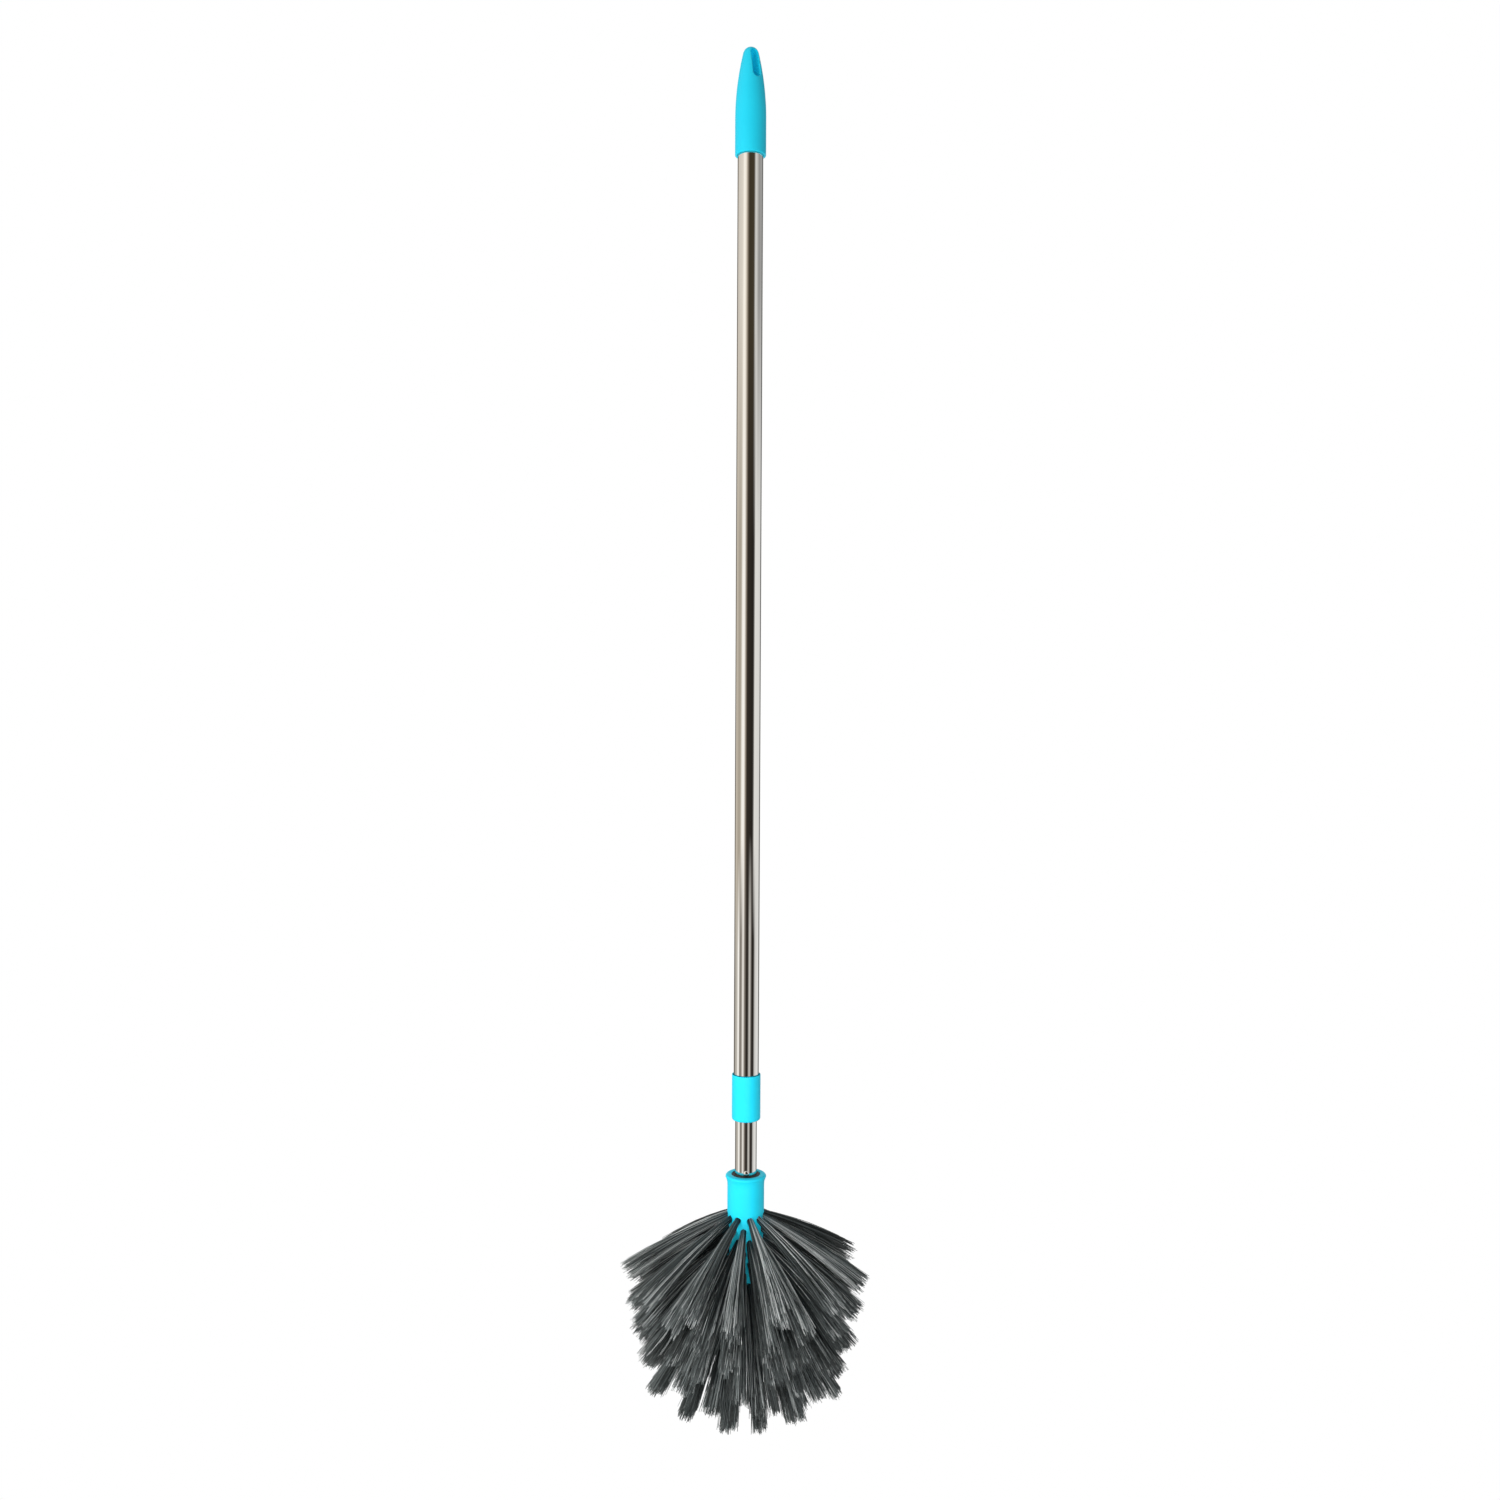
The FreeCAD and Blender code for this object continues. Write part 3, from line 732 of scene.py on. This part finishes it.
LEVEL_WALLS = (
    (-180, (0.92, 0.90, 0.86)), (-166, (0.85, 0.82, 0.77)), (-158, (0.05, 0.042, 0.034)),
    (-142, (0.06, 0.05, 0.04)), (-132, (0.58, 0.52, 0.44)), (-120, (0.60, 0.54, 0.45)),
    (-84, (0.42, 0.37, 0.30)),
    (-68, (0.50, 0.45, 0.37)), (-54, (1.0, 0.97, 0.92)), (-36, (1.05, 1.02, 0.97)),
    (-20, (0.30, 0.25, 0.20)), (-8, (0.035, 0.028, 0.022)), (44, (0.020, 0.017, 0.014)),
    (54, (0.18, 0.17, 0.16)), (62, (0.82, 0.81, 0.78)), (124, (0.76, 0.755, 0.74)),
    (134, (0.10, 0.098, 0.095)), (150, (0.07, 0.068, 0.065)), (160, (0.95, 0.94, 0.92)),
    (180, (0.92, 0.90, 0.86)),
)
LOW_WALLS = (
    (-180, (0.85, 0.82, 0.77)), (-166, (0.80, 0.77, 0.71)), (-158, (0.05, 0.042, 0.034)),
    (-142, (0.06, 0.05, 0.04)), (-130, (0.42, 0.39, 0.34)), (-98, (0.60, 0.57, 0.52)),
    (-82, (1.2, 1.17, 1.12)), (-66, (0.22, 0.20, 0.17)), (-50, (0.30, 0.27, 0.24)),
    (-35, (1.0, 0.97, 0.92)), (-20, (0.24, 0.21, 0.18)), (-4, (0.026, 0.021, 0.017)),
    (10, (0.03, 0.025, 0.02)), (27, (0.68, 0.66, 0.62)), (38, (0.20, 0.18, 0.165)),
    (48, (0.02, 0.017, 0.014)), (64, (0.03, 0.026, 0.022)), (82, (0.70, 0.69, 0.67)),
    (124, (0.88, 0.88, 0.87)), (134, (0.12, 0.118, 0.115)), (150, (0.08, 0.078, 0.075)),
    (160, (0.92, 0.91, 0.89)), (180, (0.85, 0.82, 0.77)),
)
SOFT_WALLS = (
    (-180, (0.40, 0.40, 0.40)), (-90, (0.62, 0.62, 0.62)), (-30, (0.62, 0.62, 0.62)),
    (20, (0.46, 0.46, 0.46)), (80, (0.26, 0.26, 0.26)), (140, (0.30, 0.30, 0.30)),
    (180, (0.40, 0.40, 0.40)),
)


def make_world():
    """A white surround with the soft walls and dark cards of a studio in its reflections."""
    world = bpy.data.worlds.new("studio")
    bpy.context.scene.world = world
    world.use_nodes = True
    build = Tree(world.node_tree)
    way = build.add("ShaderNodeTexCoord").outputs["Generated"]
    parts = build.add("ShaderNodeSeparateXYZ", {0: way}).outputs
    heading = build.math("ARCTAN2", parts[0], build.product(parts[1], -1.0))
    shift = 0.5 - VIEW_SIDE / 360
    round_share = build.math("FRACT", build.total(build.math("DIVIDE", heading, math.tau), shift))

    high, level, low, soft = (
        build.ramp(round_share, [((angle + 180) / 360, colour) for angle, colour in walls])
        for walls in (HIGH_WALLS, LEVEL_WALLS, LOW_WALLS, SOFT_WALLS)
    )
    lower = build.mix(build.span(parts[2], -0.235, -0.15), low, level)
    walls = build.mix(build.span(parts[2], 0.12, 0.32), lower, high)
    roof = build.mix(build.span(parts[2], 0.80, 0.95), walls, (0.85, 0.85, 0.85, 1))
    studio = build.mix(build.span(parts[2], -0.95, -0.80), (0.80, 0.80, 0.80, 1), roof)
    rays = build.add("ShaderNodeLightPath").outputs
    plain = build.math("MAXIMUM", rays["Is Camera Ray"], rays["Is Transmission Ray"])
    lit = build.mix(rays["Is Diffuse Ray"], studio, soft)
    seen = build.mix(plain, lit, (1, 1, 1, 1))
    background = build.add("ShaderNodeBackground", {"Color": seen, "Strength": 1.0})
    build.add("ShaderNodeOutputWorld", {0: background.outputs[0]})


def make_floor():
    """A round pale floor below the brush's full reach, white to the camera but for faint shadows,
    and all white at its rim."""
    radius, height, fade_from, fade_to, white_share = 1.3, -2.06, 0.4, 1.25, 0.88
    work = bmesh.new()
    bmesh.ops.create_circle(work, cap_ends=True, segments=96, radius=radius)
    bmesh.ops.translate(work, vec=Vector((0, 0, height)), verts=work.verts)
    mesh = bpy.data.meshes.new("floor")
    work.to_mesh(mesh)
    work.free()
    material = bpy.data.materials.new("floor")
    material.use_nodes = True
    build = Tree(material.node_tree)
    matt = build.add("ShaderNodeBsdfDiffuse", {"Color": (0.85, 0.85, 0.85, 1)})
    white = build.add("ShaderNodeEmission", {"Color": (1, 1, 1, 1), "Strength": 1.0})
    rays = build.add("ShaderNodeLightPath").outputs
    shown = build.math("MAXIMUM", rays["Is Camera Ray"], rays["Is Transmission Ray"])
    spot = build.add("ShaderNodeTexCoord").outputs["Object"]
    flat = build.add("ShaderNodeVectorMath", {0: spot, 1: (1, 1, 0)}, operation="MULTIPLY")
    reach = build.add("ShaderNodeVectorMath", {0: flat.outputs[0]}, operation="LENGTH")
    fade = build.span(reach.outputs["Value"], fade_from, fade_to, white_share, 1.0)
    share = build.product(shown, fade)
    mixed = build.add("ShaderNodeMixShader", {0: share, 1: matt.outputs[0], 2: white.outputs[0]})
    build.add("ShaderNodeOutputMaterial", {0: mixed.outputs[0]})
    mesh.materials.append(material)
    floor = bpy.data.objects.new("floor", mesh)
    floor.visible_glossy = False
    bpy.context.scene.collection.objects.link(floor)


def round_the_pole(angle, height, distance):
    """A place at that angle to the right of the camera's side, as seen from the pole."""
    turned = math.radians(VIEW_SIDE + angle)
    return Vector((distance * math.sin(turned), -distance * math.cos(turned), height))


# Each lamp's angle, height, distance, height aimed at, size and watts
LAMPS = {
    "key": (-45, -0.75, 1.5, -0.70, (0.8, 1.4), 13),
    "right": (155, -0.75, 1.5, -0.70, (0.8, 1.4), 8.5),
    "left": (-150, -0.75, 1.5, -0.70, (0.8, 1.4), 6),
    "front": (9, -1.05, 1.2, -1.02, (0.6, 0.6), 6.6),
    "top": (-15, -0.62, 0.55, -1.15, (0.3, 0.3), 0.42),
}


def make_lamp(name, angle, height, distance, aim_height, size, watts):
    """A soft box that faces the pole and isn't seen or mirrored."""
    lamp = bpy.data.lights.new(name, "AREA")
    lamp.shape = "RECTANGLE"
    lamp.size, lamp.size_y = size
    lamp.energy = watts
    holder = bpy.data.objects.new(name, lamp)
    holder.visible_camera = False
    holder.visible_glossy = False
    bpy.context.scene.collection.objects.link(holder)
    spot = round_the_pole(angle, height, distance)
    holder.location = spot
    aim = Vector((0, 0, aim_height)) - spot
    holder.rotation_euler = aim.to_track_quat("-Z", "Y").to_euler()


def make_camera():
    """The camera stands level with the middle of the pole and looks a little down."""
    sensor, focal_share = 36, 1450 / 1500
    aim_height, aim_right, distance = -0.581, 0.0019, 1.25
    camera = bpy.data.cameras.new("camera")
    camera.sensor_width = sensor
    camera.lens = sensor * focal_share
    holder = bpy.data.objects.new("camera", camera)
    bpy.context.scene.collection.objects.link(holder)
    side, down, roll = math.radians(VIEW_SIDE), math.radians(2.0), math.radians(0.27)
    level = Vector((math.sin(side), -math.cos(side), 0))
    back = level * math.cos(down) + Vector((0, 0, math.sin(down)))
    aim = Vector((0, 0, aim_height))
    aim += Vector((math.cos(side), math.sin(side), 0)) * aim_right
    turned = (-back).to_track_quat("-Z", "Y").to_matrix() @ Matrix.Rotation(roll, 3, "Z")
    holder.matrix_world = Matrix.Translation(aim + back * distance) @ turned.to_4x4()
    bpy.context.scene.camera = holder


surface = make_surface_group()
blue = make_blue_plastic(surface)
steel = make_polished_steel(surface)
inner = make_inner_plastic(surface)
black = make_black_plastic(surface)
wire = make_wire(surface)
bristle = make_bristle(surface)
make_tubes(steel)
make_lock_nut(blue)
make_grip(blue)
make_tufts(bristle)
finishes = {
    "lock_ferrule": inner, "clamp_ring": inner, "guide_bush": inner, "slider_plug": inner,
    # The thread plug's black moulding is partly painted shade in the head's mouth.
    "thread_plug": black, "tip_rivet": steel, "head_core": blue, "tuft_anchors": wire,
}
for node, material in finishes.items():
    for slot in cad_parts[node].material_slots:
        slot.material = material
make_world()
make_floor()
for name, settings in LAMPS.items():
    make_lamp(name, *settings)
make_camera()
bpy.context.scene.view_settings.view_transform = "Standard"
